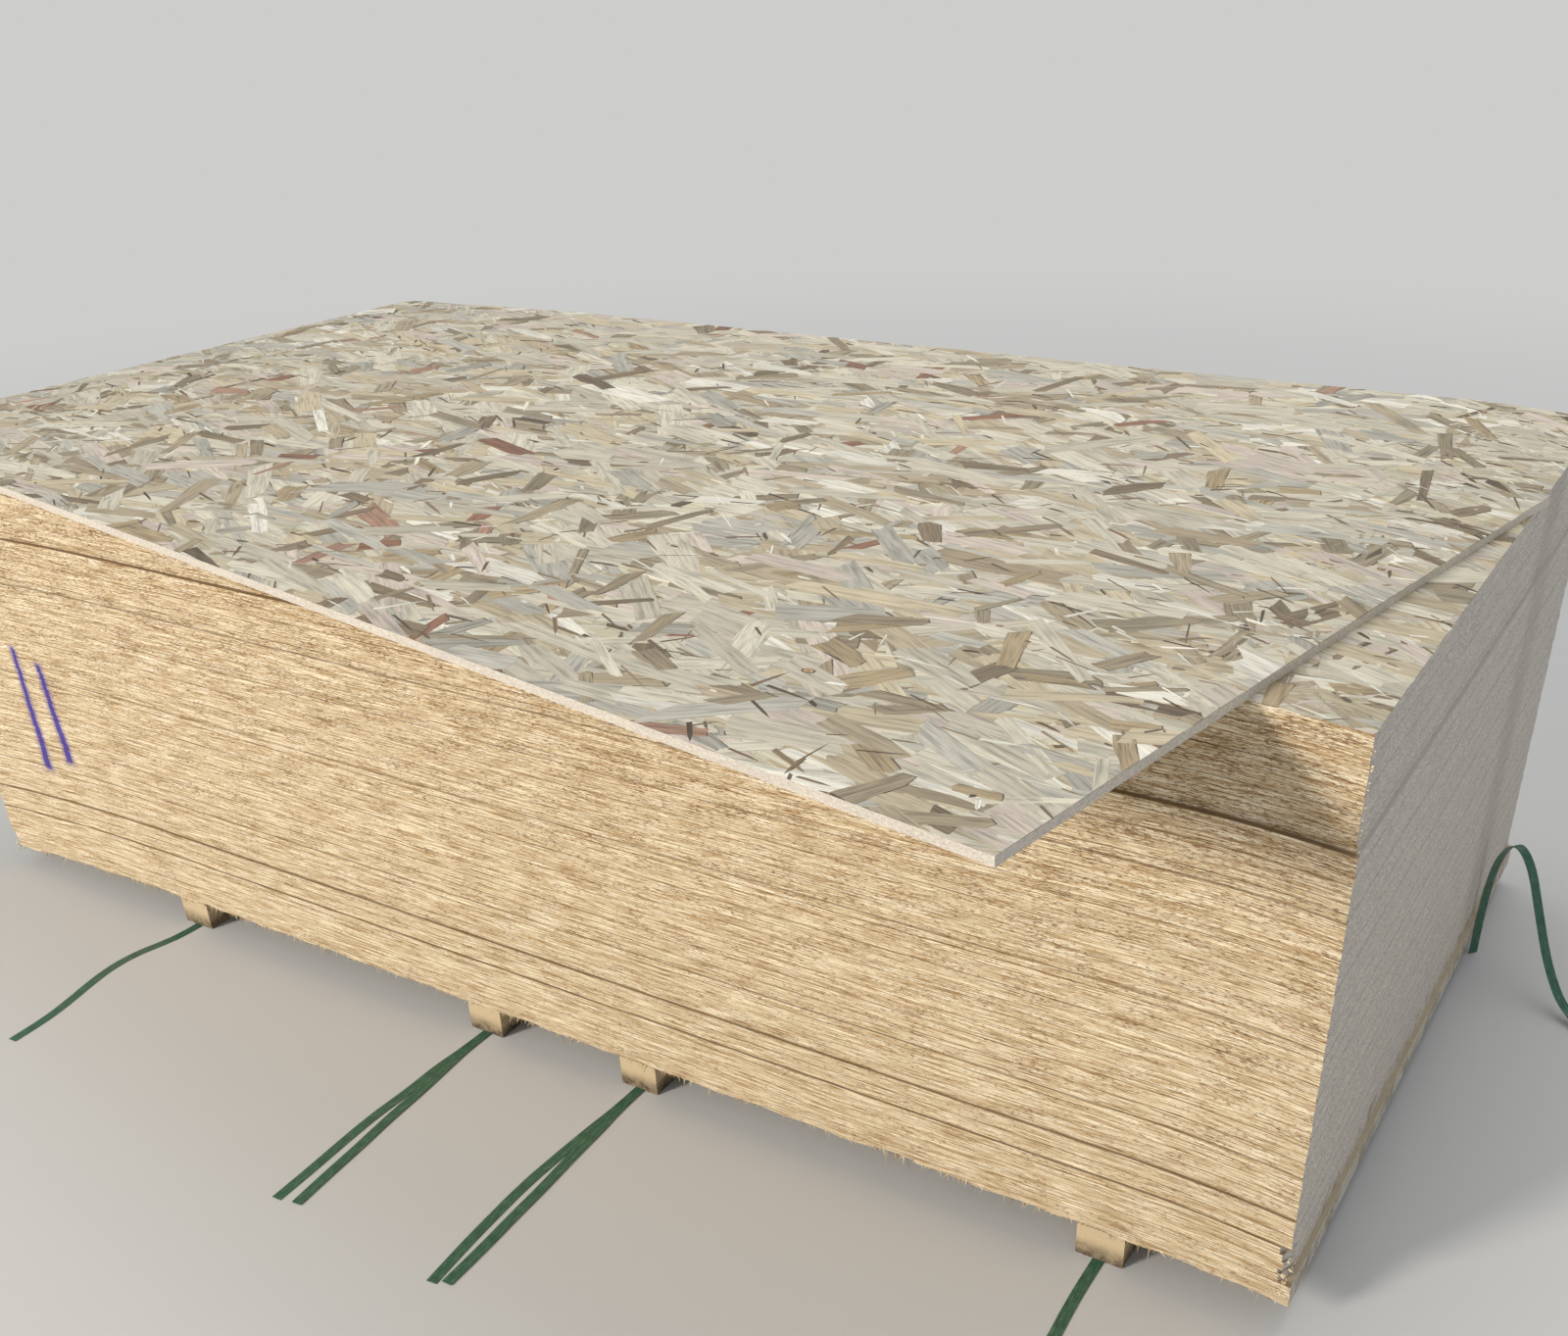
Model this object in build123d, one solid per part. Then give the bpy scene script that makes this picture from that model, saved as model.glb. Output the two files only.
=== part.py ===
from build123d import *
import os
from math import cos, radians, sin, sqrt, tan

# Sizes are in millimetres. Until the last step the middle of the stack is at
# X = 0, Y = 0, its long sides run along X, the side that faces the viewer
# looks along -Y, and the floor is Z = 0.

# The sheets
sheet_length = 2440.0
sheet_width = 1220.0
sheet_thickness = 11.0
sheet_gap = 0.05

# The two packs: the upper one stands on the lower one, a few millimetres off
lower_count = 56
upper_count = 12
upper_shift_x = -4.0
upper_shift_y = 3.0
# Sheets whose front edge lies deeper in than their neighbours', by number
# from the bottom, and how much deeper
setbacks = {8: 1.2, 12: 3.5, 22: 1.5, 56: 5.0}

# How far single sheets are pushed out of line, at most, and the waves that
# spread this over the stack: share of the offset, turn per sheet, start
stagger_x = 0.5
stagger_y = 0.9
stagger_waves_x = [(0.6, 2.4, 0.0), (0.4, 0.83, 1.0)]
stagger_waves_y = [(0.55, 1.9, 0.5), (0.45, 0.61, 0.0)]
# The lowest sheets stand out at the right-hand end, and the corners of the
# ones above them are broken off: reach along the front, and in from it
foot_creep = 7.0
foot_sheets = 3
broken_sheets = 5
corner_reach = 9.0
corner_depth = 22.0
corner_waves = [(0.4, 2.0, 0.5)]

# The stack hangs down a little past its outer bearers
left_sag = 20.0
right_sag = 12.0

# The bearers, square-sawn battens across the stack
bearer_width = 65.0
bearer_height = 50.0
bearer_setback = 2.0
bearer_chamfer = 2.0
left_bearer_inset = 499.0
right_bearer_inset = 234.0
inner_bearer_left = -48.0
inner_bearer_right = 252.0

# The loose top sheet, turned clockwise, its near right-hand corner standing
# out over the front side
top_turn = 9.8
top_corner_inset = 203.0
top_corner_overhang = 413.0

# The splintered lower front edge of the bottom sheet
break_pitch = 34.0
break_height = 5.0
break_depth = 7.0
break_mean = 0.45
break_waves = [(0.35, 2.1, 0.0), (0.2, 5.3, 0.0)]

# A long chip off the same edge: its outline as shares of length and height
chip_from_right = 495.0
chip_length = 80.0
chip_height = 8.0
chip_depth = 16.0
chip_outline = [(0.0, -1.0), (0.15, 0.7), (0.55, 1.0), (0.9, 0.8), (1.0, -1.0)]

# Flat strapping bands, cut and let fall in front of the bearers
strap_width = 16.0
strap_thickness = 0.8
strap_lift = 0.1
strap_start = 0.2
# The share of the shorter run that a rounded corner of a route takes up
corner_share = 0.45

# Each band's route over the floor, out from the middle of its bearer's front
# end: X to the right, Y away from the stack
strap_left_route = [(0, 0), (0, 38), (-9, 78), (-22, 122), (-24, 172),
                    (-14, 224), (0, 276), (10, 330), (12, 390)]
strap_inner_left_route = [(0, 0), (0, 52), (-5, 108), (-3, 174), (-6, 242),
                          (-3, 310), (2, 378), (5, 446)]
strap_inner_left_top_route = [(1, 0), (1, 50), (7, 106), (14, 172), (18, 240),
                              (26, 308), (31, 374), (38, 440)]
strap_inner_right_route = [(0, 0), (0, 54), (-5, 112), (-8, 180), (-10, 250),
                           (-6, 320), (-1, 390), (7, 460)]
strap_inner_right_top_route = [(1, 0), (1, 52), (7, 110), (10, 178), (16, 246),
                               (19, 314), (24, 384), (26, 452)]
strap_right_route = [(0, 0), (0, 50), (2, 104), (6, 162), (5, 222), (8, 282),
                     (9, 340), (14, 396)]

# One more end stands in a bow against the lowest sheets at the right-hand
# end: where it comes up from the floor, the way the bow heads, turned from
# the end face's own direction towards the front, and its route in that plane
bow_from_front = 960.0
bow_clearance = 6.2
bow_turn = 38.0
bow_route = [(0, 0), (-1, 70), (2, 138), (14, 194), (42, 228), (78, 204),
             (112, 138), (154, 62), (206, 10), (276, 0)]

half_length = sheet_length / 2
half_width = sheet_width / 2
pitch = sheet_thickness + sheet_gap
left_bearer_x = -half_length + left_bearer_inset
right_bearer_x = half_length - right_bearer_inset
bearer_length = sheet_width - 2 * bearer_setback
bearer_front = -bearer_length / 2

# The level part of the stack ends at the outer faces of the outer bearers
level_left = left_bearer_x - bearer_width / 2
level_right = right_bearer_x + bearer_width / 2


def arc_radius(reach, drop):
    """Radius of an arc that leaves the level and falls by drop over reach."""
    return (reach * reach + drop * drop) / (2 * drop)


left_radius = arc_radius(level_left + half_length, left_sag)
right_radius = arc_radius(half_length - level_right, right_sag)


def sag(x):
    """How far the stack has fallen below its level part at x."""
    if x < level_left:
        return left_radius - sqrt(left_radius ** 2 - (level_left - x) ** 2)
    if x > level_right:
        return right_radius - sqrt(right_radius ** 2 - (x - level_right) ** 2)
    return 0.0


def bent_line(x_left, x_right, z):
    """The bent outline of a sheet's face, from its left end to its right."""
    left_middle = (x_left + level_left) / 2
    right_middle = (x_right + level_right) / 2
    left = ThreePointArc((x_left, z - sag(x_left)),
                         (left_middle, z - sag(left_middle)),
                         (level_left, z))
    level = Line((level_left, z), (level_right, z))
    right = ThreePointArc((level_right, z),
                          (right_middle, z - sag(right_middle)),
                          (x_right, z - sag(x_right)))
    return [left, level, right]


def bent_slab(x_left, x_right, z, width):
    """A slab of one sheet's thickness that follows the sag of the stack."""
    bottom = bent_line(x_left, x_right, z)
    top = bent_line(x_left, x_right, z + sheet_thickness)
    ends = [Line((x, z - sag(x)), (x, z - sag(x) + sheet_thickness))
            for x in (x_left, x_right)]
    outline = make_face(bottom + top + ends)
    return extrude(Plane.XZ * outline, width / 2, both=True)


def level_of(number):
    """Underside of a sheet over the bearers, counted from the bottom one."""
    return bearer_height + sheet_gap + number * pitch


def stack_sheet(number, shift_x, shift_y):
    """One sheet of the stack, pushed out of line without turning."""
    slab = bent_slab(-half_length + shift_x, half_length + shift_x,
                     level_of(number), sheet_width)
    return Pos(0, shift_y, 0) * slab


def wave(terms, number):
    """A sum of waves, read at one whole number."""
    return sum(share * sin(turn * number + start)
               for share, turn, start in terms)


def stagger(number):
    """The small offset that each sheet got when the pack was made up."""
    return (stagger_x * wave(stagger_waves_x, number),
            stagger_y * wave(stagger_waves_y, number))


def corner_broken(sheet, number):
    """Breaks off a sheet's front corner at the right-hand end."""
    box = sheet.bounding_box()
    size = 1 + wave(corner_waves, number)
    outline = Polyline((0, 0), (-corner_reach * size, 0),
                       (0, corner_depth * size), close=True)
    piece = extrude(make_face(outline), box.max.Z)
    return sheet - Pos(box.max.X, box.min.Y, 0) * piece


def lower_sheet(number):
    """A sheet of the lower pack; the lowest ones have crept to the right."""
    along, across = stagger(number)
    creep = foot_creep if number < foot_sheets else 0.0
    sheet = stack_sheet(number, along + creep,
                        across + setbacks.get(number, 0.0))
    if foot_sheets <= number < foot_sheets + broken_sheets:
        sheet = corner_broken(sheet, number)
    return sheet


def upper_sheet(number):
    """A sheet of the upper pack, numbered from the bottom of the stack."""
    along, across = stagger(number)
    return stack_sheet(number, upper_shift_x + along,
                       upper_shift_y + across + setbacks.get(number, 0.0))


def cut_from_front(sheet, outline, depth):
    """Takes an outline in X and Z out of a sheet's front edge."""
    front = sheet.bounding_box().min.Y
    cut = extrude(Plane.XZ * make_face(Polyline(*outline, close=True)), -depth)
    return sheet - Pos(0, front, 0) * cut


def splintered(sheet, number):
    """Tears strands out along the lower front edge of a sheet."""
    under = level_of(number)
    count = int(sheet_length / break_pitch)
    spacing = (sheet_length + break_pitch) / count
    outline = []
    for step in range(count + 1):
        x = -half_length - break_pitch / 2 + step * spacing
        rise = break_height * (break_mean + wave(break_waves, step))
        outline.append((x, under - sag(x) + rise))
    first_x, last_x = outline[0][0], outline[-1][0]
    outline += [(last_x, 0), (first_x, 0)]
    return cut_from_front(sheet, outline, break_depth)


def chipped(sheet, number):
    """Splits a long chip off the lower front edge of a sheet."""
    under = level_of(number)
    left = half_length - chip_from_right - chip_length
    outline = [(left + along * chip_length, under + up * chip_height)
               for along, up in chip_outline]
    return cut_from_front(sheet, outline, chip_depth)


def loose_top_sheet():
    """The top sheet: it follows the stack's bend, but lies turned on it."""
    turn = radians(top_turn)
    near_x = half_length - top_corner_inset
    near_y = -half_width - top_corner_overhang
    level = level_of(lower_count + upper_count)
    slab = bent_slab(near_x - sheet_length * cos(turn) - sheet_thickness,
                     near_x + sheet_width * sin(turn) + sheet_thickness,
                     level, sheet_length + sheet_width)
    blank = Box(sheet_length, sheet_width, 2 * level,
                align=(Align.MAX, Align.MIN, Align.CENTER))
    return slab & (Pos(near_x, near_y, level) * Rot(0, 0, -top_turn) * blank)


def bearer(x):
    """A sawn batten across the stack, its long edges eased."""
    batten = Box(bearer_width, bearer_length, bearer_height,
                 align=(Align.CENTER, Align.CENTER, Align.MIN))
    batten = chamfer(batten.edges().filter_by(Axis.Y), bearer_chamfer)
    return Pos(x, 0, 0) * batten


def corner_radii(points):
    """The largest radius that each corner of a route has room for."""
    radii = []
    for before, corner, after in zip(points, points[1:], points[2:]):
        run_in = Vector(corner) - Vector(before)
        run_out = Vector(after) - Vector(corner)
        half_turn = radians(run_in.get_angle(run_out)) / 2
        room = corner_share * min(run_in.length, run_out.length)
        radii.append(room / tan(half_turn))
    return radii


def strap(name, points, across):
    """A flat band along a route; across tells which way its face looks."""
    radii = corner_radii(points)
    path = FilletPolyline(*points, radius=radii)
    start = Plane(origin=points[0], x_dir=across, z_dir=path % 0)
    band = sweep(start * Rectangle(strap_thickness, strap_width), path=path)
    share = band.volume / (strap_thickness * strap_width * path.length)
    print(f"{name}: length {path.length:.1f}, volume share {share:.4f}, "
          f"smallest radius {min(radii):.0f}")
    return band


def fallen_strap(name, bearer_x, route, layer):
    """A band on the floor, or lying on the band below it."""
    z = (strap_lift + strap_thickness / 2
         + layer * (strap_thickness + strap_lift))
    points = [(bearer_x + x, bearer_front - strap_start - y, z)
              for x, y in route]
    return strap(name, points, (0, 0, 1))


def strap_bow(name):
    """The end that stands in a bow against the right-hand end face."""
    heading = radians(bow_turn)
    floor = strap_lift + strap_thickness / 2
    foot_x = half_length + foot_creep + bow_clearance
    foot_y = -half_width + bow_from_front
    points = [(foot_x + out * cos(heading), foot_y - out * sin(heading),
               floor + up) for out, up in bow_route]
    return strap(name, points, (cos(heading), -sin(heading), 0))


lower_sheets = [lower_sheet(number) for number in range(1, lower_count)]
upper_sheets = [upper_sheet(number)
                for number in range(lower_count, lower_count + upper_count)]

pieces = {
    "bearer_left": bearer(left_bearer_x),
    "bearer_inner_left": bearer(inner_bearer_left),
    "bearer_inner_right": bearer(inner_bearer_right),
    "bearer_right": bearer(right_bearer_x),
    "bottom_sheet": chipped(splintered(lower_sheet(0), 0), 0),
    "lower_pack_sheets": Compound(lower_sheets),
    "upper_pack_sheets": Compound(upper_sheets),
    "top_sheet": loose_top_sheet(),
}

# Where each band lies: its bearer, its route, the layer on the floor
strap_places = {
    "strap_left": (left_bearer_x, strap_left_route, 0),
    "strap_inner_left": (inner_bearer_left, strap_inner_left_route, 0),
    "strap_inner_left_top": (inner_bearer_left, strap_inner_left_top_route, 1),
    "strap_inner_right": (inner_bearer_right, strap_inner_right_route, 0),
    "strap_inner_right_top": (inner_bearer_right,
                              strap_inner_right_top_route, 1),
    "strap_right": (right_bearer_x, strap_right_route, 0),
}
straps = {name: fallen_strap(name, *place)
          for name, place in strap_places.items()}
straps["strap_bow"] = strap_bow("strap_bow")

# The origin goes on the floor, under the middle of everything but the straps
boxes = [piece.bounding_box() for piece in pieces.values()]
middle_x = (min(box.min.X for box in boxes)
            + max(box.max.X for box in boxes)) / 2
middle_y = (min(box.min.Y for box in boxes)
            + max(box.max.Y for box in boxes)) / 2
to_origin = Pos(-middle_x, -middle_y, 0)
print(f"moved by {-middle_x:.3f}, {-middle_y:.3f}")

os.makedirs("parts", exist_ok=True)
for name, piece in {**pieces, **straps}.items():
    export_step(to_origin * piece, f"parts/{name}.step")
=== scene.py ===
import math
import random

import bmesh
import bpy
from mathutils import Matrix, Vector, noise


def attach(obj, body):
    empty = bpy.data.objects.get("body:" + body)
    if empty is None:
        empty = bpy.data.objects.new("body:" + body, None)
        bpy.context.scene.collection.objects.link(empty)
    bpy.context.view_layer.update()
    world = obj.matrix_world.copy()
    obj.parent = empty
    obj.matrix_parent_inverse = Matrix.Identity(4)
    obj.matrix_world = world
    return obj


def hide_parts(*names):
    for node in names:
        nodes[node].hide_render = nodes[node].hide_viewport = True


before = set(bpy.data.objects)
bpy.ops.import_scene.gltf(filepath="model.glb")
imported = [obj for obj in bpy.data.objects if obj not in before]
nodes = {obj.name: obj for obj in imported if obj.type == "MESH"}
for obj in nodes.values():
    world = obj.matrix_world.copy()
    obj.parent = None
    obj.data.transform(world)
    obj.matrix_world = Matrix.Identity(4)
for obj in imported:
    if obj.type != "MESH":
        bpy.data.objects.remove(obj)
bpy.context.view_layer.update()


# The sheets are oriented strand board: long flat strands of softwood, laid
# mostly along the sheet, glued and pressed to 11 mm. The faces show the
# strands from above, and the sawn edges show them cut through, in thin layers.
class Wire:
    """An output of a material's nodes. Python's signs add Math nodes to it."""

    def __init__(self, finish, socket):
        self.finish = finish
        self.socket = socket

    def maths(self, operation, *others):
        return self.finish.node("Math", {"operation": operation}, [self, *others])

    def __add__(self, other):
        return self.maths("ADD", other)

    def __sub__(self, other):
        return self.maths("SUBTRACT", other)

    def __mul__(self, other):
        return self.maths("MULTIPLY", other)

    def __truediv__(self, other):
        return self.maths("DIVIDE", other)

    def __gt__(self, other):
        return self.maths("GREATER_THAN", other)

    def __lt__(self, other):
        return self.maths("LESS_THAN", other)

    def __abs__(self):
        return self.maths("ABSOLUTE")

    def __rsub__(self, other):
        return self.finish.node("Math", {"operation": "SUBTRACT"}, [other, self])

    __radd__ = __add__
    __rmul__ = __mul__


class Finish:
    """A node material with a Principled surface."""

    def __init__(self, name, **surface):
        self.material = bpy.data.materials.new(name)
        self.material.use_nodes = True
        self.tree = self.material.node_tree
        self.surface = self.tree.nodes["Principled BSDF"]
        self.set_surface(**surface)

    def set_surface(self, **surface):
        for socket, value in surface.items():
            self.surface.inputs[socket.replace("_", " ")].default_value = value

    def other_surface(self, share, **surface):
        """A second surface, which takes the first one's place where share is 1."""
        first = self.surface
        self.surface = self.tree.nodes.new("ShaderNodeBsdfPrincipled")
        self.set_surface(**surface)
        both = self.node("MixShader", {}, {0: share})
        self.tree.links.new(first.outputs[0], both.socket.node.inputs[1])
        self.tree.links.new(self.surface.outputs[0], both.socket.node.inputs[2])
        self.tree.links.new(both.socket, self.tree.nodes["Material Output"].inputs["Surface"])

    def node(self, kind, settings, sockets, out=0):
        """Adds a node: first its settings, then its sockets' values or wires."""
        made = self.tree.nodes.new("ShaderNode" + kind)
        for name, value in settings.items():
            if name == "stops":
                ramp = made.color_ramp
                while len(ramp.elements) < len(value):
                    ramp.elements.new(0.5)
                for element, (position, colour) in zip(ramp.elements, value):
                    element.position = position
                    element.color = (*colour, 1)
            elif name == "interpolation" and kind == "ValToRGB":
                made.color_ramp.interpolation = value
            else:
                setattr(made, name, value)
        pairs = sockets.items() if isinstance(sockets, dict) else enumerate(sockets)
        for socket, value in pairs:
            if isinstance(value, Wire):
                self.tree.links.new(value.socket, made.inputs[socket])
            else:
                made.inputs[socket].default_value = value
        return Wire(self, made.outputs[out])

    def outputs(self, wire, *names):
        """Other outputs of the node that a wire comes from."""
        made = wire.socket.node
        return [Wire(self, made.outputs[name]) for name in names]

    def split(self, vector):
        parts = self.node("SeparateXYZ", {}, [vector])
        return self.outputs(parts, "X", "Y", "Z")

    def join(self, x, y, z=0.0):
        return self.node("CombineXYZ", {}, [x, y, z])

    def turned(self, vector, angle):
        return self.node("VectorRotate", {"rotation_type": "Z_AXIS"},
                         {"Vector": vector, "Angle": angle})

    def noise(self, vector, scale=1.0, detail=2.0, roughness=0.5):
        return self.node("TexNoise", {}, {"Vector": vector, "Scale": scale,
                                          "Detail": detail, "Roughness": roughness})

    def dice(self, vector):
        """Four random numbers that hang on a place."""
        thrown = self.node("TexWhiteNoise", {}, {"Vector": vector}, "Color")
        parts = self.node("SeparateColor", {}, [thrown])
        return [*self.outputs(parts, "Red", "Green", "Blue"), *self.outputs(thrown, "Value")]

    def ramp(self, value, stops, interpolation="LINEAR"):
        """A colour for each value. A stop's colour may be one number, for a grey."""
        stops = [(at, colour if isinstance(colour, tuple) else (colour,) * 3) for at, colour in stops]
        return self.node("ValToRGB", {"stops": stops, "interpolation": interpolation}, {"Fac": value})

    def blend(self, share, under, over, mode="MIX"):
        """Lays one colour over another."""
        return self.node("Mix", {"data_type": "RGBA", "blend_type": mode},
                         {0: share, 6: under, 7: over}, 2)

    def swap(self, share, under, over):
        """Puts one vector in another's place."""
        return self.node("Mix", {"data_type": "VECTOR"}, {0: share, 4: under, 5: over}, 1)

    def step(self, value, low, high):
        """0 below low, 1 above high, smooth between."""
        return self.node("MapRange", {"interpolation_type": "SMOOTHSTEP"},
                         {"Value": value, "From Min": low, "From Max": high})

    def feed(self, socket, wire):
        self.tree.links.new(wire.socket, self.surface.inputs[socket])

    def relief(self, height, depth, strength=1.0):
        self.feed("Normal", self.node("Bump", {}, {"Height": height, "Distance": depth,
                                                   "Strength": strength}))


def paint(red, green, blue):
    """A colour as a paint card gives it, 0 to 255, in the linear values of nodes."""
    shares = (level / 255 for level in (red, green, blue))
    return tuple(s / 12.92 if s <= 0.04045 else ((s + 0.055) / 1.055) ** 2.4 for s in shares)


def solid(red, green, blue):
    """The same, with the fourth number that a colour socket takes."""
    return (*paint(red, green, blue), 1)


millimetre = 0.001
sheet_length, sheet_width, sheet_thickness = 2.44, 1.22, 11 * millimetre
sheet_pitch = 11.05 * millimetre
sheet_foot = 50.05 * millimetre
sheets_below = 68

# The stack is level between these two places and hangs down past them, by 20 mm
# at its left-hand end and 12 mm at the right-hand one
level_left, level_right = -0.6735, 1.0985
left_fall = 0.020 / 0.4665 ** 2
right_fall = 0.012 / 0.2015 ** 2

# A face counts as facing one way where its normal has more than this that way
facing = 0.7

# Strands lie in layers, the upper ones over the lower: turn against the sheet's
# length in degrees, length and width in millimetres, and how many are there
strand_layers = [(4, 120, 26, 1.0), (-12, 105, 20, 0.8), (17, 90, 22, 0.6), (-29, 80, 18, 0.4)]
strand_tones = [
    (0.00, paint(206, 198, 172)), (0.20, paint(196, 186, 158)), (0.38, paint(214, 208, 188)),
    (0.52, paint(188, 182, 160)), (0.66, paint(190, 174, 144)), (0.80, paint(198, 184, 164)),
    (0.90, paint(170, 154, 126)), (0.97, paint(150, 132, 106)),
]


def strands(finish, place, layers):
    """The strand that shows at a place: where in it, its random numbers, its rim.
    Each strand is pushed a little aside by those that it lies on."""
    fray = finish.noise(place, 0.9, 2.0) * 2.4 - 1.2
    where = finish.join(0.0, 0.0, 1.0)
    luck = finish.join(0.3, 0.3, 0.3)
    for seed, (turn, length, width, share) in enumerate(layers):
        pushed = finish.node("VectorMath", {"operation": "MULTIPLY_ADD"},
                             [luck, (0.9, 0.9, 0.9), place])
        x, y, _ = finish.split(finish.turned(pushed, math.radians(turn)))
        row_place = y / width + seed * 17.3
        row = row_place.maths("FLOOR")
        shift = finish.dice(finish.join(row, seed + 0.5))[3]
        column_place = x / length + shift * 9.0
        column = column_place.maths("FLOOR")
        long_luck, wide_luck, turn_luck, chance = finish.dice(finish.join(column, row, seed + 0.5))
        inside = finish.join((column_place - column - 0.5) * length, (row_place - row - 0.5) * width)
        u, v, _ = finish.split(finish.turned(inside, turn_luck * 0.44 - 0.22))
        end_room = (long_luck * 0.22 + 0.28) * length - abs(u)
        side_room = (wide_luck * 0.24 + 0.27) * width - abs(v)
        rim = end_room.maths("MINIMUM", side_room) + fray
        there = (rim > 0.0) * (chance < share) if seed else 1.0
        where = finish.swap(there, where, finish.join(u, v, rim))
        luck = finish.swap(there, luck, finish.join(long_luck, wide_luck, turn_luck))
    return where, luck


def strand_face(finish, place):
    """Colour and height of a sheet's face, seen from above."""
    where, luck = strands(finish, place, strand_layers)
    u, v, rim = finish.split(where)
    shade, blotch, streak, tone = finish.dice(luck)
    colour = finish.ramp(tone, strand_tones, "CONSTANT")
    grain = finish.noise(finish.join(u * 0.03, v * 1.1, shade * 90.0), 1.0, 3.0, 0.6)
    rings = finish.noise(finish.join(u * 0.008, v * 0.33, blotch * 70.0), 1.0, 1.0)
    for pattern, shades in ((grain, [(0.25, 0.62), (0.5, 0.98), (0.75, 1.12)]),
                            (rings, [(0.3, 0.84), (0.55, 1.0), (0.7, 1.08)]),
                            (streak, [(0.0, 0.88), (1.0, 1.1)])):
        colour = finish.blend(1.0, colour, finish.ramp(pattern, shades), "MULTIPLY")
    shadow = 1.0 - finish.step(rim, 0.0, 0.9)
    colour = finish.blend(shadow * 0.35, colour, solid(112, 88, 58))
    return colour, finish.noise(place, 0.35, 2.0) * 0.4


# The joints that stand open, counted from the floor, and how dark each is: their darkness is painted
# shade, as a sheet set back in the joint would cast
shaded_joints = [(8, 0.8), (12, 0.5), (18, 0.7), (34, 0.45), (49, 0.6)]


def sawn_edge(finish, place, ends):
    """Colour and height of a sheet's sawn edge: thin layers, voids and joints. The
    place is in millimetres. Where ends is 1 the edge is cut across the strands, so
    it is finer and greyer."""
    along, up, side = finish.split(place)
    level = (up - sheet_foot / millimetre) / (sheet_pitch / millimetre)
    number = level.maths("FLOOR")
    within = level - number
    luck = finish.dice(finish.join(number, 3.5))[3]
    run = 1.0 + ends * 8.0
    layers = finish.noise(finish.join(along * 0.018 * run, up * 0.85, number * 3.1), 1.0, 3.5, 0.7)
    colour = finish.ramp(layers, [(0.34, paint(130, 98, 60)), (0.43, paint(184, 153, 109)),
                                  (0.50, paint(214, 190, 150)), (0.59, paint(248, 233, 204))])
    patches = finish.noise(finish.join(along * 0.012, up * 0.05, side * 9.0), 1.0, 2.5, 0.6)
    specks = finish.noise(finish.join(along * 0.12 * run, up * 0.85, number * 1.7 + 9.0), 1.0, 3.0, 0.7)
    voids = finish.step(specks + patches * 0.28 + up * 0.0001, 0.72, 0.80)
    colour = finish.blend(voids * (0.88 - ends * 0.15), colour, solid(120, 82, 42))
    broken = finish.noise(finish.join(along * 0.007, number * 7.7), 1.0, 3.0)
    seam_and_shade = finish.step(abs(within - 0.5), 0.41, 0.48) * finish.step(broken, 0.34, 0.56)
    seam_and_shade = seam_and_shade * (luck * luck * 0.6 + 0.08)
    # Painted shade darkens the open joints, over the dark seams between all the sheets
    for joint, strength in shaded_joints:
        here = (abs(level - joint) < 0.14) * finish.step(broken, 0.28, 0.46) * strength
        seam_and_shade = seam_and_shade.maths("MAXIMUM", here)
    seam_and_shade = seam_and_shade * (1.0 - ends * 0.97)
    colour = finish.blend(seam_and_shade, colour, solid(100, 76, 48))
    colour = finish.blend(1.0 - ends * 0.75, colour, finish.ramp(luck, [(0.0, 0.94), (1.0, 1.03)]),
                          "MULTIPLY")
    colour = finish.blend(ends * 0.55, colour, solid(198, 200, 203))
    stipple = finish.noise(place, 0.3, 2.0, 0.7)
    colour = finish.blend(ends, colour, finish.ramp(stipple, [(0.32, 0.66), (0.48, 0.95), (0.68, 1.18)]),
                          "MULTIPLY")
    height = layers - seam_and_shade * 0.6
    return colour, height * (1.0 - ends * 0.85)


def violet_stroke(finish, colour, x, z, wander, ends):
    """One sprayed stroke between two (x, z) places of the front: a core and its haze."""
    (low_x, low_z), (high_x, high_z) = ends
    slant = (high_x - low_x) / (high_z - low_z)
    off = abs(x - z * slant - (low_x - low_z * slant)) + wander * 0.006 + (z - low_z) * 0.018
    core = 1.0 - finish.step(off, 0.010, 0.014)
    haze = (1.0 - finish.step(off, 0.012, 0.024)) * 0.5
    share = core.maths("MAXIMUM", haze) * finish.step(z, low_z - 0.010, low_z + 0.006)
    share = share * (1.0 - finish.step(z, high_z - 0.010, high_z + 0.004))
    return finish.blend(share * 0.93, colour, solid(50, 30, 140))


# What juts out past these places shows as narrow ledges between the sheets. At the ends they are browner
# below the worn foot; along the front, below ledge_top, they are painted dark brown as painted shade
# lines.
ledge_left, ledge_right, ledge_front, ledge_top = -1.1437, 1.2955, -0.4, 0.79
worn_foot = 0.1
# The right-hand end has a faint upright painted shadow, which fades in and out between these
painted_shadow_near, painted_shadow_far = (0.42, 0.48), (0.53, 0.60)


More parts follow.
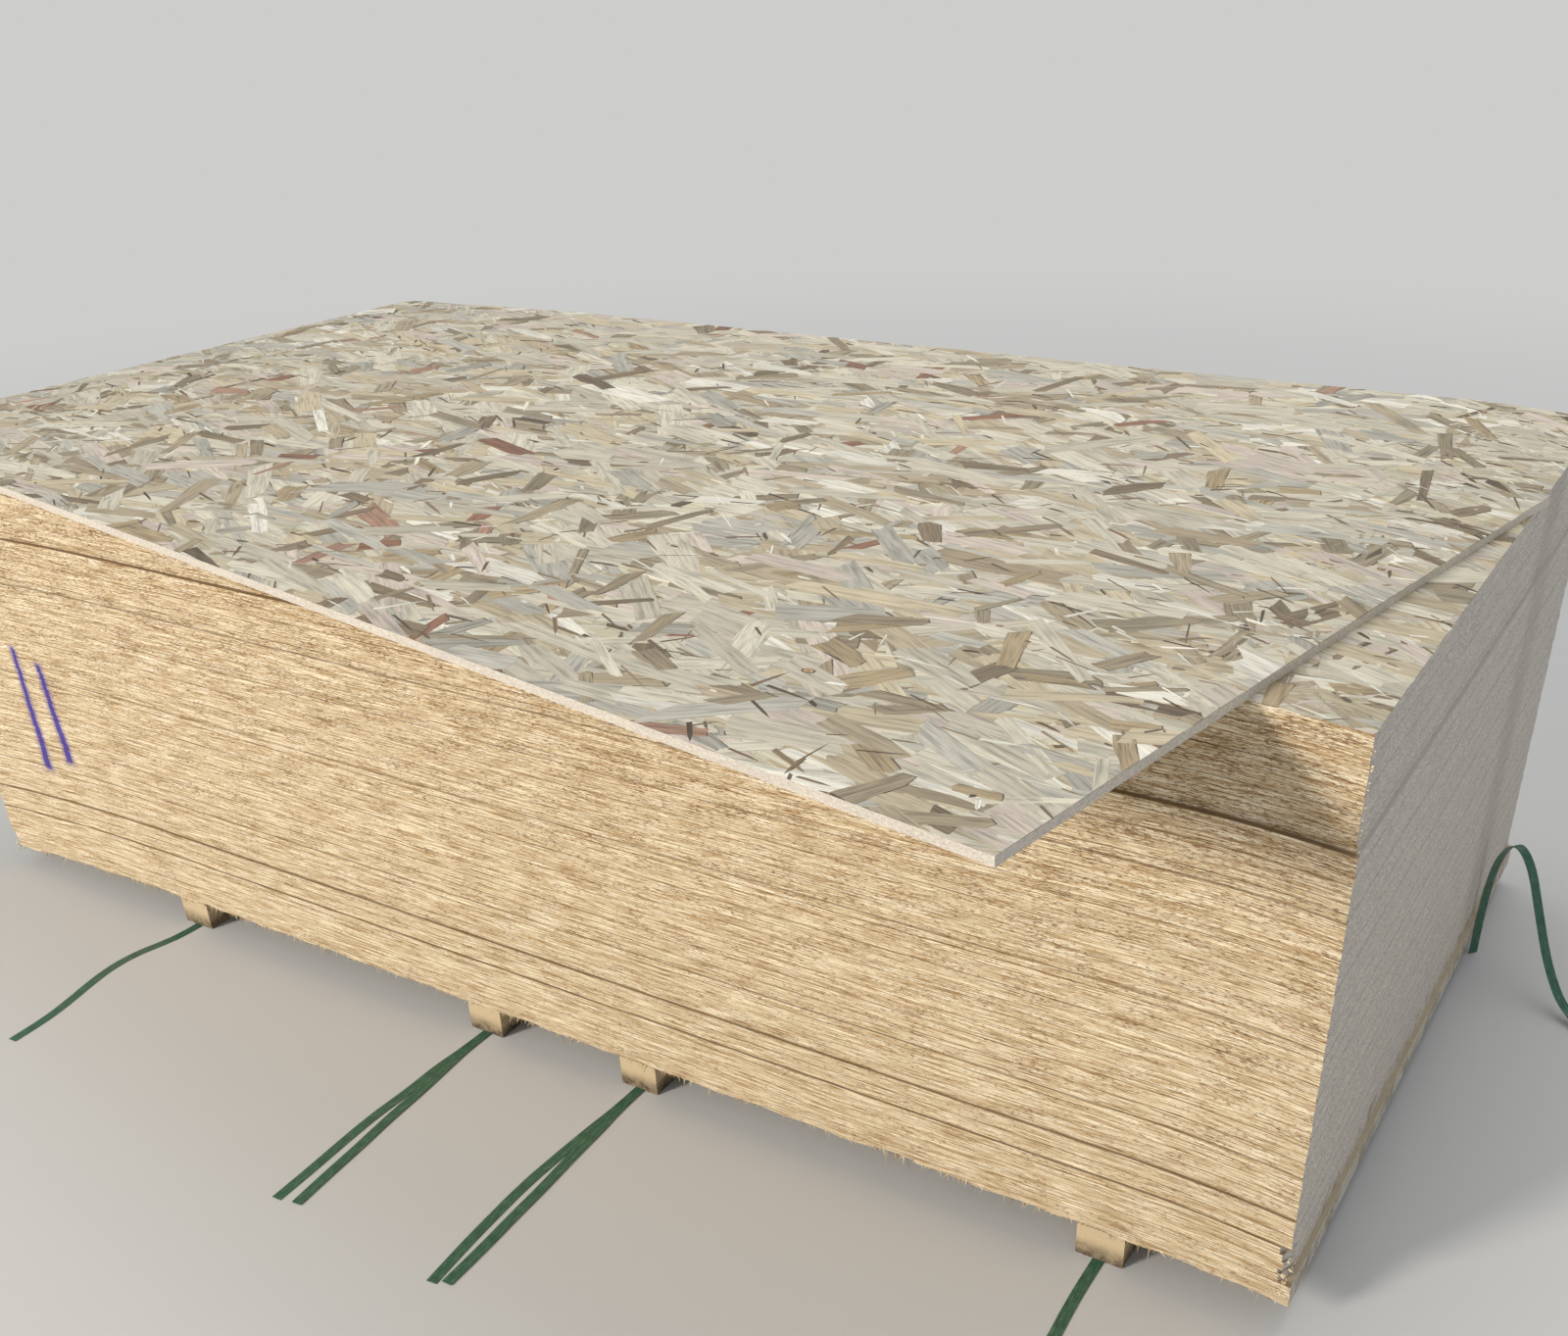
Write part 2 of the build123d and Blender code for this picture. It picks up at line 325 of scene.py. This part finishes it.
def strand_board(name, turn, evened=0.0, strokes=()):
    """The whole board: strands on its faces, sawn layers on its four edges.
    A sheet whose edges were evened has all four like the stack's ends."""
    finish = Finish(name, Roughness=0.62, Specular_IOR_Level=0.35)
    seen = finish.node("TexCoord", {}, {}, "Object")
    normal = finish.outputs(seen, "Normal")[0]
    x, y, z = finish.split(seen)
    left = (level_left - x).maths("MAXIMUM", 0.0)
    right = (x - level_right).maths("MAXIMUM", 0.0)
    straight = z + left * left * left_fall + right * right * right_fall
    flat = finish.node("VectorMath", {"operation": "SCALE"},
                       {"Vector": finish.turned(finish.join(x, y, 0.0), math.radians(turn)),
                        "Scale": 1 / millimetre})
    along, across, _ = finish.split(flat)
    nx, ny, nz = finish.split(finish.turned(normal, math.radians(turn)))
    ends = abs(nx) > facing
    edge, edge_height = sawn_edge(finish, finish.join(
        along * (1.0 - ends) + across * ends, straight / millimetre, ends),
        ends.maths("MAXIMUM", evened))
    if evened:
        edge = finish.blend(0.4, edge, solid(222, 211, 192))
    front = x + (ny > -facing) * 9.0  # far from any stroke, except on the front
    wander = finish.noise(finish.join(x * 90.0, z * 260.0), 1.0, 2.0, 0.7)
    for stroke in strokes:
        edge = violet_stroke(finish, edge, front, z, wander, stroke)
    if strokes:
        # A faint upright painted shadow darkens the right-hand end
        painted_shadow = finish.step(y, *painted_shadow_near) * (1.0 - finish.step(y, *painted_shadow_far)) * (nx > facing)
        edge = finish.blend(painted_shadow * 0.22, edge, solid(120, 108, 94))
        dirt = finish.noise(seen, 26.0, 4.0, 0.7) - finish.step(z, 0.05, 0.17) * 0.3
        edge = finish.blend(finish.step(dirt, 0.42, 0.62) * (ends * 0.45 + 0.12), edge,
                            solid(112, 88, 60))
    finish.feed("Base Color", edge)
    finish.relief(edge_height, millimetre, 0.6)
    finish.other_surface(abs(nz) > facing, Roughness=0.55, Specular_IOR_Level=0.35)
    face, face_height = strand_face(finish, flat)
    if strokes:
        ledges = (x > ledge_right).maths("MAXIMUM", x < ledge_left)
        worn = finish.blend(z < worn_foot, solid(180, 175, 167), solid(174, 158, 132))
        face = finish.blend(ledges * 0.9, face, worn)
        # Painted shade: the ledges along the front are dark brown, as shade lines at the joints
        face = finish.blend((y < ledge_front) * (z < ledge_top) * 0.9, face, solid(134, 107, 74))
    finish.feed("Base Color", face)
    finish.relief(face_height, millimetre, 0.6)
    return finish.material


# Two strokes of violet spray stand on the front, near its left-hand end. Each is
# given by the (x, z) places of its two ends.
violet_strokes = [((-0.952, 0.236), (-0.9492, 0.473)), ((-0.8815, 0.264), (-0.8899, 0.452))]
board = strand_board("strand_board", turn=0.0, strokes=violet_strokes)
for name in ("bottom_sheet", "lower_pack_sheets", "upper_pack_sheets"):
    nodes[name].data.materials.clear()
    nodes[name].data.materials.append(board)

# The loose sheet on the top is the same board, laid askew by nearly ten degrees.
# Its sawn edges are cleaner and more even than those of the stack.
top_turn = 9.8
nodes["top_sheet"].data.materials.clear()
nodes["top_sheet"].data.materials.append(strand_board("strand_board_turned", turn=top_turn, evened=0.85))

# The strands that lie uppermost on the sheets' open faces are thin flat flakes,
# 60 to 190 mm long with torn ends, pressed into the ones below. Odd darker ones
# lie across them, with slivers and small knots.
strand_paints = [  # how often, and the colour
    (26, (205, 197, 176)), (20, (223, 217, 201)), (20, (195, 186, 166)), (18, (179, 174, 160)),
    (14, (193, 179, 150)), (10, (200, 186, 171)), (14, (176, 161, 134)), (9, (160, 144, 118)),
]
odd_paints = [
    (20, (159, 145, 119)), (22, (146, 132, 107)), (14, (130, 114, 90)), (4, (108, 92, 73)),
    (3, (141, 103, 80)), (12, (168, 163, 149)), (8, (166, 147, 114)), (10, (150, 137, 112)),
    (4, (168, 132, 110)),
]
sliver_paints = [
    (88, 72, 52), (222, 218, 203), (120, 99, 74), (106, 90, 70), (228, 222, 205), (140, 122, 96),
]
# The colour of the painted shadow beside each odd strand
painted_strand_shadow = solid(92, 78, 58)

# Lengths and widths in millimetres: the least, the most and the usual one
strand_length, strand_width = (60, 190, 120), (9, 52, 24)
odd_length, odd_width = (30, 140, 70), (8, 44, 20)
sliver_length, sliver_width = (6, 75, 22), (1.2, 7, 2.4)

# A knot's rings: their share of its size, their colour and how proud they lie
strands_per_knot = 260
knot_rings = [(1.0, (104, 76, 54), 0.76), (0.72, (186, 156, 118), 0.78), (0.3, (128, 94, 66), 0.8)]

strand_wood = Finish("strand_wood", Roughness=0.55, Specular_IOR_Level=0.35)
seen = strand_wood.node("TexCoord", {}, {}, "UV")
u, v, _ = strand_wood.split(seen)
tone = strand_wood.node("Attribute", {"attribute_name": "tone"}, {}, "Color")
grain_depth = strand_wood.outputs(tone, "Alpha")[0]
fine = strand_wood.noise(strand_wood.join(u * 20.0, v * 500.0), 1.0, 4.0, 0.68)
broad = strand_wood.noise(strand_wood.join(u * 14.0, v * 150.0), 1.0, 2.0)
fine_shades = strand_wood.ramp(fine, [(0.34, 0.40), (0.46, 0.95), (0.62, 1.18)])
broad_shades = strand_wood.ramp(broad, [(0.32, 0.68), (0.5, 1.0), (0.66, 1.1)])
tone = strand_wood.blend(grain_depth, tone, fine_shades, "MULTIPLY")
strand_wood.feed("Base Color", strand_wood.blend(1.0, tone, broad_shades, "MULTIPLY"))
strand_wood.relief(fine, 0.25 * millimetre)


def fallen(x):
    """How far the stack sags at x, past its outer bearers."""
    return max(level_left - x, 0) ** 2 * left_fall + max(x - level_right, 0) ** 2 * right_fall


def torn_outline(length, width, chance):
    """A strand's outline: nearly straight sides, torn ends."""
    half, side, tear = length / 2, width / 2, min(width * 0.25, length * 0.1)
    narrow = chance.uniform(0.55, 1.0)
    slant = chance.uniform(-1, 1) * min(width * 0.6, length * 0.15)

    def ragged(x, y, share=1.0):
        return x + chance.uniform(-tear, tear) * share, y + chance.uniform(-0.06, 0.06) * width

    return [ragged(-half - slant, -side), ragged(-half / 3, -side, 0.3),
            ragged(half / 3, -side * narrow, 0.3), ragged(half - slant / 2, -side * narrow),
            ragged(half, 0), ragged(half + slant / 2, side * narrow), ragged(half / 3, side, 0.3),
            ragged(-half / 3, side, 0.3), ragged(-half + slant, side), ragged(-half, 0)]


def cut_to(outline, region):
    """The part of an outline that lies inside a convex region. A corner of it is
    a place on the sheet and the same place on the strand."""
    for start, end in zip(region, region[1:] + region[:1]):
        along = (end[0] - start[0], end[1] - start[1])
        depth = [along[0] * (p[1] - start[1]) - along[1] * (p[0] - start[0]) for p, _ in outline]
        kept = []
        for here, corner in enumerate(outline):
            if (depth[here] > 0) != (depth[here - 1] > 0):
                share = depth[here - 1] / (depth[here - 1] - depth[here])
                kept.append([[a + (b - a) * share for a, b in zip(before, after)]
                             for before, after in zip(outline[here - 1], corner)])
            if depth[here] > 0:
                kept.append(corner)
        outline = kept
        if len(outline) < 3:
            return []
    return outline


scene = bpy.context.scene


def finish_piece(name, shape, finish):
    """Makes a piece of the stack out of a shape of strands, splinters or a band."""
    mesh = bpy.data.meshes.new(name)
    shape.to_mesh(mesh)
    shape.free()
    mesh.materials.append(finish.material)
    piece = bpy.data.objects.new(name, mesh)
    scene.collection.objects.link(piece)
    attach(piece, "root")
    return piece


def lay_strands(name, region, turn, level, count, seed):
    """Covers a convex region of a sheet's face with strands, the later over the
    earlier. The last ones are mostly slivers."""
    chance = random.Random(seed)
    shape = bmesh.new()
    uv = shape.loops.layers.uv.new("grain")
    tone = shape.loops.layers.float_color.new("tone")
    xs, ys = [p[0] for p in region], [p[1] for p in region]
    micron = 0.001 * millimetre
    near_by = 0.25
    taken = {}
    weights = [weight for weight, _ in strand_paints]
    odd_weights = [weight for weight, _ in odd_paints]

    def free_step(height, x, y):
        """The nearest height in whole microns at which no strand lies close by: two
        faces in one plane would come out black."""
        step = round(height / micron)
        while any(abs(x - p) + abs(y - q) < near_by for p, q in taken.get(step, ())):
            step += 1
        taken.setdefault(step, []).append((x, y))
        return step

    def lay(outline, height, fill, shift):
        outline = cut_to(outline, region)
        if len(outline) < 3:
            return
        face = shape.faces.new([shape.verts.new((x, y, height - fallen(x))) for (x, y), _ in outline])
        for loop, (_, spot) in zip(face.loops, outline):
            loop[uv].uv = (spot[0] + shift, spot[1] + shift)
            loop[tone] = fill

    for number in range(count):
        late = number / count
        x, y = chance.uniform(min(xs), max(xs)), chance.uniform(min(ys), max(ys))
        sliver = chance.random() < (0.12 if late < 0.7 else 0.72)
        odd = not sliver and late > 0.35 and chance.random() < 0.30
        wanted = 194 + 34 * noise.noise(Vector((x * 7, y * 11, seed)))
        colour = min((pick[1] for pick in chance.choices(strand_paints, weights, k=2)),
                     key=lambda tone: abs(tone[0] - wanted))
        angle = turn + chance.gauss(0, 22)
        length, width = chance.triangular(*strand_length), chance.triangular(*strand_width)
        if odd:
            colour = chance.choices(odd_paints, odd_weights)[0][1]
            angle = turn + chance.uniform(-90, 90)
            length, width = chance.triangular(*odd_length), chance.triangular(*odd_width)
        if sliver:
            colour = chance.choice(sliver_paints)
            angle += chance.gauss(0, 25)
            length, width = chance.triangular(*sliver_length), chance.triangular(*sliver_width)
        spread = chance.uniform(0.80, 1.03)
        # The fourth number tells the wood how deep its grain is
        fill = (*(share * spread for share in paint(*colour)), 0.95 if odd else 0.62)
        c, s = math.cos(math.radians(angle)), math.sin(math.radians(angle))
        outline = [((x + (c * a - s * b) * millimetre, y + (s * a + c * b) * millimetre),
                    (a * millimetre, b * millimetre))
                   for a, b in torn_outline(length, width, chance)[::2 if sliver else 1]]
        proud = 0.1 + 0.6 * late + chance.uniform(0, 0.05)
        height = free_step(level + proud * millimetre, x, y) * micron
        lay(outline, height, fill, chance.uniform(0, 50))
        if odd:
            # A painted shadow shows dark along one side, as the raised strand would cast: the ends'
            # corners alone, moved aside
            away = [((p[0] + 0.9 * millimetre, p[1] + 1.3 * millimetre), q) for p, q in outline]
            lay([away[corner] for corner in (0, 3, 4, 5, 8, 9)], height - 20.5 * micron, painted_strand_shadow, 0.0)
    for _ in range(count // strands_per_knot):
        x, y = chance.uniform(min(xs), max(xs)), chance.uniform(min(ys), max(ys))
        size = chance.uniform(2.5, 6)
        for share, colour, proud in knot_rings:
            knot = [(size * share * 1.5 * math.cos(math.tau * i / 12),
                     size * share * math.sin(math.tau * i / 12)) for i in range(12)]
            lay([((x + a * millimetre, y + b * millimetre), (a * millimetre, b * millimetre))
                 for a, b in knot], level + proud * millimetre, solid(*colour), 3.0)
    for part in bmesh.ops.extrude_face_region(shape, geom=shape.faces[:])["geom"]:
        if isinstance(part, bmesh.types.BMVert):
            part.co.z = level - 0.02 * millimetre - fallen(part.co.x)
    bmesh.ops.recalc_face_normals(shape, faces=shape.faces)
    finish_piece(name, shape, strand_wood)


# The loose sheet's four corners follow from the one that stands out over the front
top_level = sheet_foot + sheets_below * sheet_pitch + sheet_thickness
near_right = (1.097, -0.8206)
turn_cos, turn_sin = math.cos(math.radians(top_turn)), math.sin(math.radians(top_turn))
near_left = (near_right[0] - sheet_length * turn_cos, near_right[1] + sheet_length * turn_sin)
far_right = (near_right[0] + sheet_width * turn_sin, near_right[1] + sheet_width * turn_cos)
far_left = (near_left[0] + sheet_width * turn_sin, near_left[1] + sheet_width * turn_cos)
lay_strands("top_sheet_strands", [near_right, far_right, far_left, near_left],
            turn=-top_turn, level=top_level, count=6400, seed=1)

# The loose sheet leaves two strips of the sheet below bare: a wedge at the right
# and a long one at the back. They have the same strands, along the stack.
next_level = top_level - sheet_pitch
slope = math.tan(math.radians(top_turn))
stack_left, stack_right, stack_front, stack_back = -1.1440, 1.2955, -0.4042, 0.8158


def right_edge(y):
    """Where the loose sheet's right-hand edge passes over the stack, at y."""
    return near_right[0] + (y - near_right[1]) * slope


def far_edge(x):
    """Where its far edge passes over the stack, at x."""
    return far_right[1] - (x - far_right[0]) * slope


lay_strands("bare_face_right", [(right_edge(stack_front), stack_front), (stack_right, stack_front),
                                (stack_right, near_right[1] + (stack_right - near_right[0]) / slope)],
            turn=0, level=next_level, count=180, seed=2)
lay_strands("bare_face_back", [(stack_right, far_edge(stack_right)), (stack_right, stack_back),
                               (stack_left, stack_back), (stack_left, far_edge(stack_left))],
            turn=0, level=next_level, count=1500, seed=3)

# Splinters stand out of the sawn edges: all along the foot of the front, and
# thickly round the corner where the lowest sheets are broken.
pale_splinters = [(232, 216, 180), (220, 198, 158), (204, 178, 138), (178, 150, 112)]


def splinters(name, spots, seed):
    """Thin slivers, each from a place on an edge, outwards along a direction."""
    chance = random.Random(seed)
    shape = bmesh.new()
    uv = shape.loops.layers.uv.new("grain")
    tone = shape.loops.layers.float_color.new("tone")
    for spot, way, length in spots:
        way = (Vector(way) + Vector([chance.gauss(0, 0.5) for _ in range(3)])).normalized()
        side = way.orthogonal().normalized() * chance.uniform(0.3, 1.1) * millimetre
        thick = way.cross(side) * chance.uniform(0.3, 0.8)
        root, reach = Vector(spot) - way * 2 * millimetre, way * (length + 2 * millimetre)
        axes = Matrix((side, thick, reach)).transposed().to_4x4()
        made = bmesh.ops.create_cone(shape, cap_ends=True, segments=4, radius1=1.4, radius2=0.25,
                                     depth=1.0, matrix=Matrix.Translation(root + reach / 2) @ axes)
        fill = solid(*chance.choice(pale_splinters))
        for loop in [loop for vertex in made["verts"] for loop in vertex.link_loops]:
            loop[uv].uv = ((loop.vert.co - root).length, (loop.vert.co - root).dot(side) * 900)
            loop[tone] = fill
    bmesh.ops.recalc_face_normals(shape, faces=shape.faces)
    finish_piece(name, shape, strand_wood)


chance = random.Random(7)
front_face = -0.4058
foot_spots = []
for _ in range(1100):  # the foot of the front
    x = chance.uniform(stack_left, stack_right)
    z = sheet_foot - fallen(x) + abs(chance.gauss(0, 4)) * millimetre
    foot_spots.append(((x, front_face, z), (0, -0.6, -0.9), abs(chance.gauss(3.5, 5)) * millimetre))
for _ in range(150):  # the broken corner, on both its sides
    x, y = chance.uniform(1.278, 1.299), front_face
    if chance.random() < 0.4:
        x, y = 1.2995, chance.uniform(-0.4, -0.36)
    z = sheet_foot - fallen(x) + chance.triangular(0, 62, 10) * millimetre
    foot_spots.append(((x, y, z), (1.6, -0.4, -0.2), chance.uniform(1, 6) * millimetre))
for _ in range(140):  # the upright corner above it
    spot = (1.2994, -0.4056, chance.uniform(0.06, 0.78))
    foot_spots.append((spot, (0.6, -0.8, 0), abs(chance.gauss(0.4, 0.6)) * millimetre))
for _ in range(160):  # the foot of the right-hand end
    y = chance.uniform(-0.4, 0.8)
    z = sheet_foot - fallen(1.3) + abs(chance.gauss(0, 8)) * millimetre
    foot_spots.append(((1.302, y, z), (0.9, 0, -0.3), abs(chance.gauss(2, 3)) * millimetre))
splinters("foot_splinters", foot_spots, seed=8)

# Four sawn softwood bearers carry the stack, 65 mm wide and 50 mm high. They lie
# across under it, and their ends are dirty at the foot.
softwood = Finish("bearer_softwood", Roughness=0.75, Specular_IOR_Level=0.3)
seen = softwood.node("TexCoord", {}, {}, "Object")
x, y, z = softwood.split(seen)
nx, ny, nz = softwood.split(softwood.outputs(seen, "Normal")[0])
cut_end = abs(ny) > facing
fibres = softwood.noise(softwood.join(x * 240.0, y * 7.0, z * 240.0), 1.0, 3.0)
pith = softwood.noise(softwood.join(x * 3.0, 0.0, z * 3.0), 1.0, 1.0) * 0.05
rings = ((x * 0.9 + z * 0.5 + pith) * 1500.0).maths("SINE") * 0.09 + 0.5
pores = softwood.noise(softwood.join(x * 700.0, y * 30.0, z * 700.0), 1.0, 2.0)
grain = fibres * (1.0 - cut_end) + (rings * 0.6 + pores * 0.4) * cut_end
tone = softwood.ramp(grain, [(0.3, paint(166, 140, 106)), (0.5, paint(206, 182, 145)),
                             (0.7, paint(224, 206, 173))])
dirt = (1.0 - softwood.step(z, 0.002, 0.035)) * softwood.noise(seen, 70.0, 4.0, 0.7) * 1.7
softwood.feed("Base Color", softwood.blend(dirt, tone, solid(74, 60, 46)))
softwood.relief(grain, millimetre, 0.5)
for name in ("bearer_left", "bearer_inner_left", "bearer_inner_right", "bearer_right"):
    nodes[name].data.materials.clear()
    nodes[name].data.materials.append(softwood.material)

# Green plastic strapping with a pressed lattice, cut open: its ends lie on the
# floor in front of the bearers. Each band is 16 mm wide and 0.8 mm thick. A route
# has its bearer's place, its layer on the floor, and its points in millimetres.
band_width = 16 * millimetre
band_thickness = 0.8 * millimetre
band_front, band_gap = -0.4056, 0.2
band_levels = [0.5 * millimetre, 1.4 * millimetre]
band_routes = {
    "strap_left": (-0.641, 0, [(0, 0), (0, 38), (-9, 78), (-22, 122), (-24, 172), (-14, 224),
                                  (0, 276), (10, 330), (12, 390)]),
    "strap_inner_left": (0.032, 0, [(0, 0), (0, 52), (-5, 108), (-3, 174), (-6, 242), (-3, 310),
                                       (2, 378), (5, 446)]),
    "strap_inner_left_top": (0.032, 1, [(1, 0), (1, 50), (7, 106), (14, 172), (18, 240),
                                           (26, 308), (31, 374), (38, 440)]),
    "strap_inner_right": (0.332, 0, [(0, 0), (0, 54), (-5, 112), (-8, 180), (-10, 250),
                                        (-6, 320), (-1, 390), (7, 460)]),
    "strap_inner_right_top": (0.332, 1, [(1, 0), (1, 52), (7, 110), (10, 178), (16, 246),
                                            (19, 314), (24, 384), (26, 452)]),
    "strap_right": (1.066, 0, [(0, 0), (0, 50), (2, 104), (6, 162), (5, 222), (8, 282),
                                  (9, 340), (14, 396)]),
}
plastic = Finish("strap_plastic", Roughness=0.38, Specular_IOR_Level=0.5)
seen = plastic.node("TexCoord", {}, {}, "UV")
u, v, _ = plastic.split(seen)
dust = plastic.noise(plastic.join(u * 60.0, v * 4.0), 1.0, 4.0, 0.65)
plastic.feed("Base Color", plastic.ramp(dust, [(0.35, paint(34, 76, 58)), (0.55, paint(50, 97, 74)),
                                               (0.72, paint(100, 124, 102))]))
lattice = (u * 520.0 + v * 5.0).maths("SINE") * (u * 520.0 - v * 5.0).maths("SINE")
plastic.relief(lattice, 0.12 * millimetre)


def smooth_line(name, points):
    """Points along the smooth curve that a band takes over the floor."""
    curve = bpy.data.curves.new(name + "_route", "CURVE")
    curve.dimensions = "3D"
    spline = curve.splines.new("NURBS")
    spline.points.add(len(points) - 1)
    for knot, point in zip(spline.points, points):
        knot.co = (*point, 1)
    spline.order_u = 3
    spline.use_endpoint_u = True
    spline.resolution_u = 12
    holder = bpy.data.objects.new(name + "_route", curve)
    mesh = bpy.data.meshes.new_from_object(holder)
    line = [vertex.co.copy() for vertex in mesh.vertices]
    bpy.data.objects.remove(holder)
    return line


def band(name, points, flat_side=None):
    """A flat band, drawn along a route from its own cross-section. The side of one
    that climbs keeps its direction."""
    line = smooth_line(name, points)
    shape = bmesh.new()
    uv = shape.loops.layers.uv.new("band")
    end = shape.faces.new([shape.verts.new() for _ in range(4)])
    spots, travelled = {}, 0.0
    for here, point in enumerate(line):
        ahead = line[min(here + 1, len(line) - 1)] - line[max(here - 1, 0)]
        side = (flat_side or Vector((ahead.y, -ahead.x, 0))).normalized() * band_width / 2
        up = side.cross(ahead).normalized() * band_thickness / 2
        if here:
            travelled += (point - line[here - 1]).length
            end = bmesh.ops.extrude_discrete_faces(shape, faces=[end])["faces"][0]
        for vertex, (a, b) in zip(end.verts, ((-1, -1), (1, -1), (1, 1), (-1, 1))):
            vertex.co = point + a * side + b * up
            spots[vertex] = (travelled, a * b > 0)
    bmesh.ops.holes_fill(shape, edges=shape.edges, sides=4)
    for face in shape.faces:
        for loop in face.loops:
            loop[uv].uv = spots[loop.vert]
    bmesh.ops.recalc_face_normals(shape, faces=shape.faces)
    piece = finish_piece(name + "_band", shape, plastic)
    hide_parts(name)


for name, (bearer_x, layer, route) in band_routes.items():
    band(name, [(bearer_x + x * millimetre, band_front - (band_gap + y) * millimetre,
                 band_levels[layer]) for x, y in route])

# One cut end of strapping stands in a bow against the lowest sheets, at the
# right-hand end. The route is its way out along the floor, and its height.
bow_heading = math.radians(38)
bow_foot = (1.3132, 0.5524)
bow_route = [(0, 0), (-1, 70), (2, 138), (14, 194), (42, 228), (78, 204),
             (112, 138), (154, 62), (206, 10), (276, 0)]
band("strap_bow", [(bow_foot[0] + out * millimetre * math.cos(bow_heading),
                    bow_foot[1] - out * millimetre * math.sin(bow_heading),
                    band_levels[0] + up * millimetre) for out, up in bow_route],
     Vector((-math.sin(bow_heading), -math.cos(bow_heading), 0)))

# A plain pale floor under soft studio light: a large warm lamp in front at the
# left, a weak one overhead and a pale sky. The camera has the photograph's view.
scene.view_settings.view_transform = "Standard"

floor = bpy.data.meshes.new("floor")
shape = bmesh.new()
bmesh.ops.create_grid(shape, x_segments=1, y_segments=1, size=30)
shape.to_mesh(floor)
shape.free()
pale = Finish("pale_floor", Roughness=0.9, Emission_Strength=1.0, Specular_IOR_Level=0.0)
seen = pale.node("TexCoord", {}, {}, "Object")
away = pale.step(pale.node("VectorMath", {"operation": "LENGTH"}, [seen], "Value"), 1.9, 6.0)
backdrop, black = solid(205, 205, 204), solid(0, 0, 0)
pale.feed("Base Color", pale.blend(away, solid(200, 199, 197), black))
pale.feed("Emission Color", pale.blend(away, black, backdrop))
floor.materials.append(pale.material)
ground = bpy.data.objects.new("floor", floor)
scene.collection.objects.link(ground)

world = bpy.data.worlds.new("studio")
scene.world = world
world.use_nodes = True
sky = world.node_tree.nodes["Background"]
sky.inputs["Color"].default_value = (0.90, 0.95, 1.0, 1)
sky.inputs["Strength"].default_value = 0.55
plain = world.node_tree.nodes.new("ShaderNodeBackground")
plain.inputs["Color"].default_value = backdrop
either = world.node_tree.nodes.new("ShaderNodeMixShader")
ray = world.node_tree.nodes.new("ShaderNodeLightPath")
world.node_tree.links.new(ray.outputs["Is Camera Ray"], either.inputs["Fac"])
world.node_tree.links.new(sky.outputs[0], either.inputs[1])
world.node_tree.links.new(plain.outputs[0], either.inputs[2])
world.node_tree.links.new(either.outputs[0], world.node_tree.nodes["World Output"].inputs["Surface"])


def lamp(name, place, target, size, power, colour):
    light = bpy.data.lights.new(name, "AREA")
    light.shape = "DISK"
    light.size = size
    light.energy = power
    light.color = colour
    holder = bpy.data.objects.new(name, light)
    holder.location = place
    holder.rotation_mode = "QUATERNION"
    holder.rotation_quaternion = (Vector(target) - Vector(place)).to_track_quat("-Z", "Y")
    scene.collection.objects.link(holder)


lamp("key", (-4.6, -10.0, 4.9), (0.2, 0.0, 0.4), 2.4, 1180, (1.0, 0.95, 0.88))
lamp("overhead", (0.5, 1.5, 4.5), (0.0, 0.2, 0.8), 4.0, 90, (1.0, 0.98, 0.95))

# The camera was fitted to the stack's edges: its place in metres and its turns
camera_place = (1.5910, -1.8726, 1.473)
yaw, pitch, roll = (math.radians(angle) for angle in (33.25, 32.51, -2.57))
ahead = Vector((-math.sin(yaw) * math.cos(pitch), math.cos(yaw) * math.cos(pitch), -math.sin(pitch)))
right = Vector((math.cos(yaw), math.sin(yaw), 0))
upward = right.cross(ahead)
across = math.cos(roll) * right + math.sin(roll) * upward
raised = -math.sin(roll) * right + math.cos(roll) * upward
view = bpy.data.cameras.new("camera")
view.sensor_width = 36
view.lens = 36.97
view.shift_x = -0.010
view.shift_y = 0.1734
camera = bpy.data.objects.new("camera", view)
camera.matrix_world = Matrix.Translation(camera_place) @ Matrix(
    (across, raised, -ahead)).transposed().to_4x4()
scene.collection.objects.link(camera)
scene.camera = camera
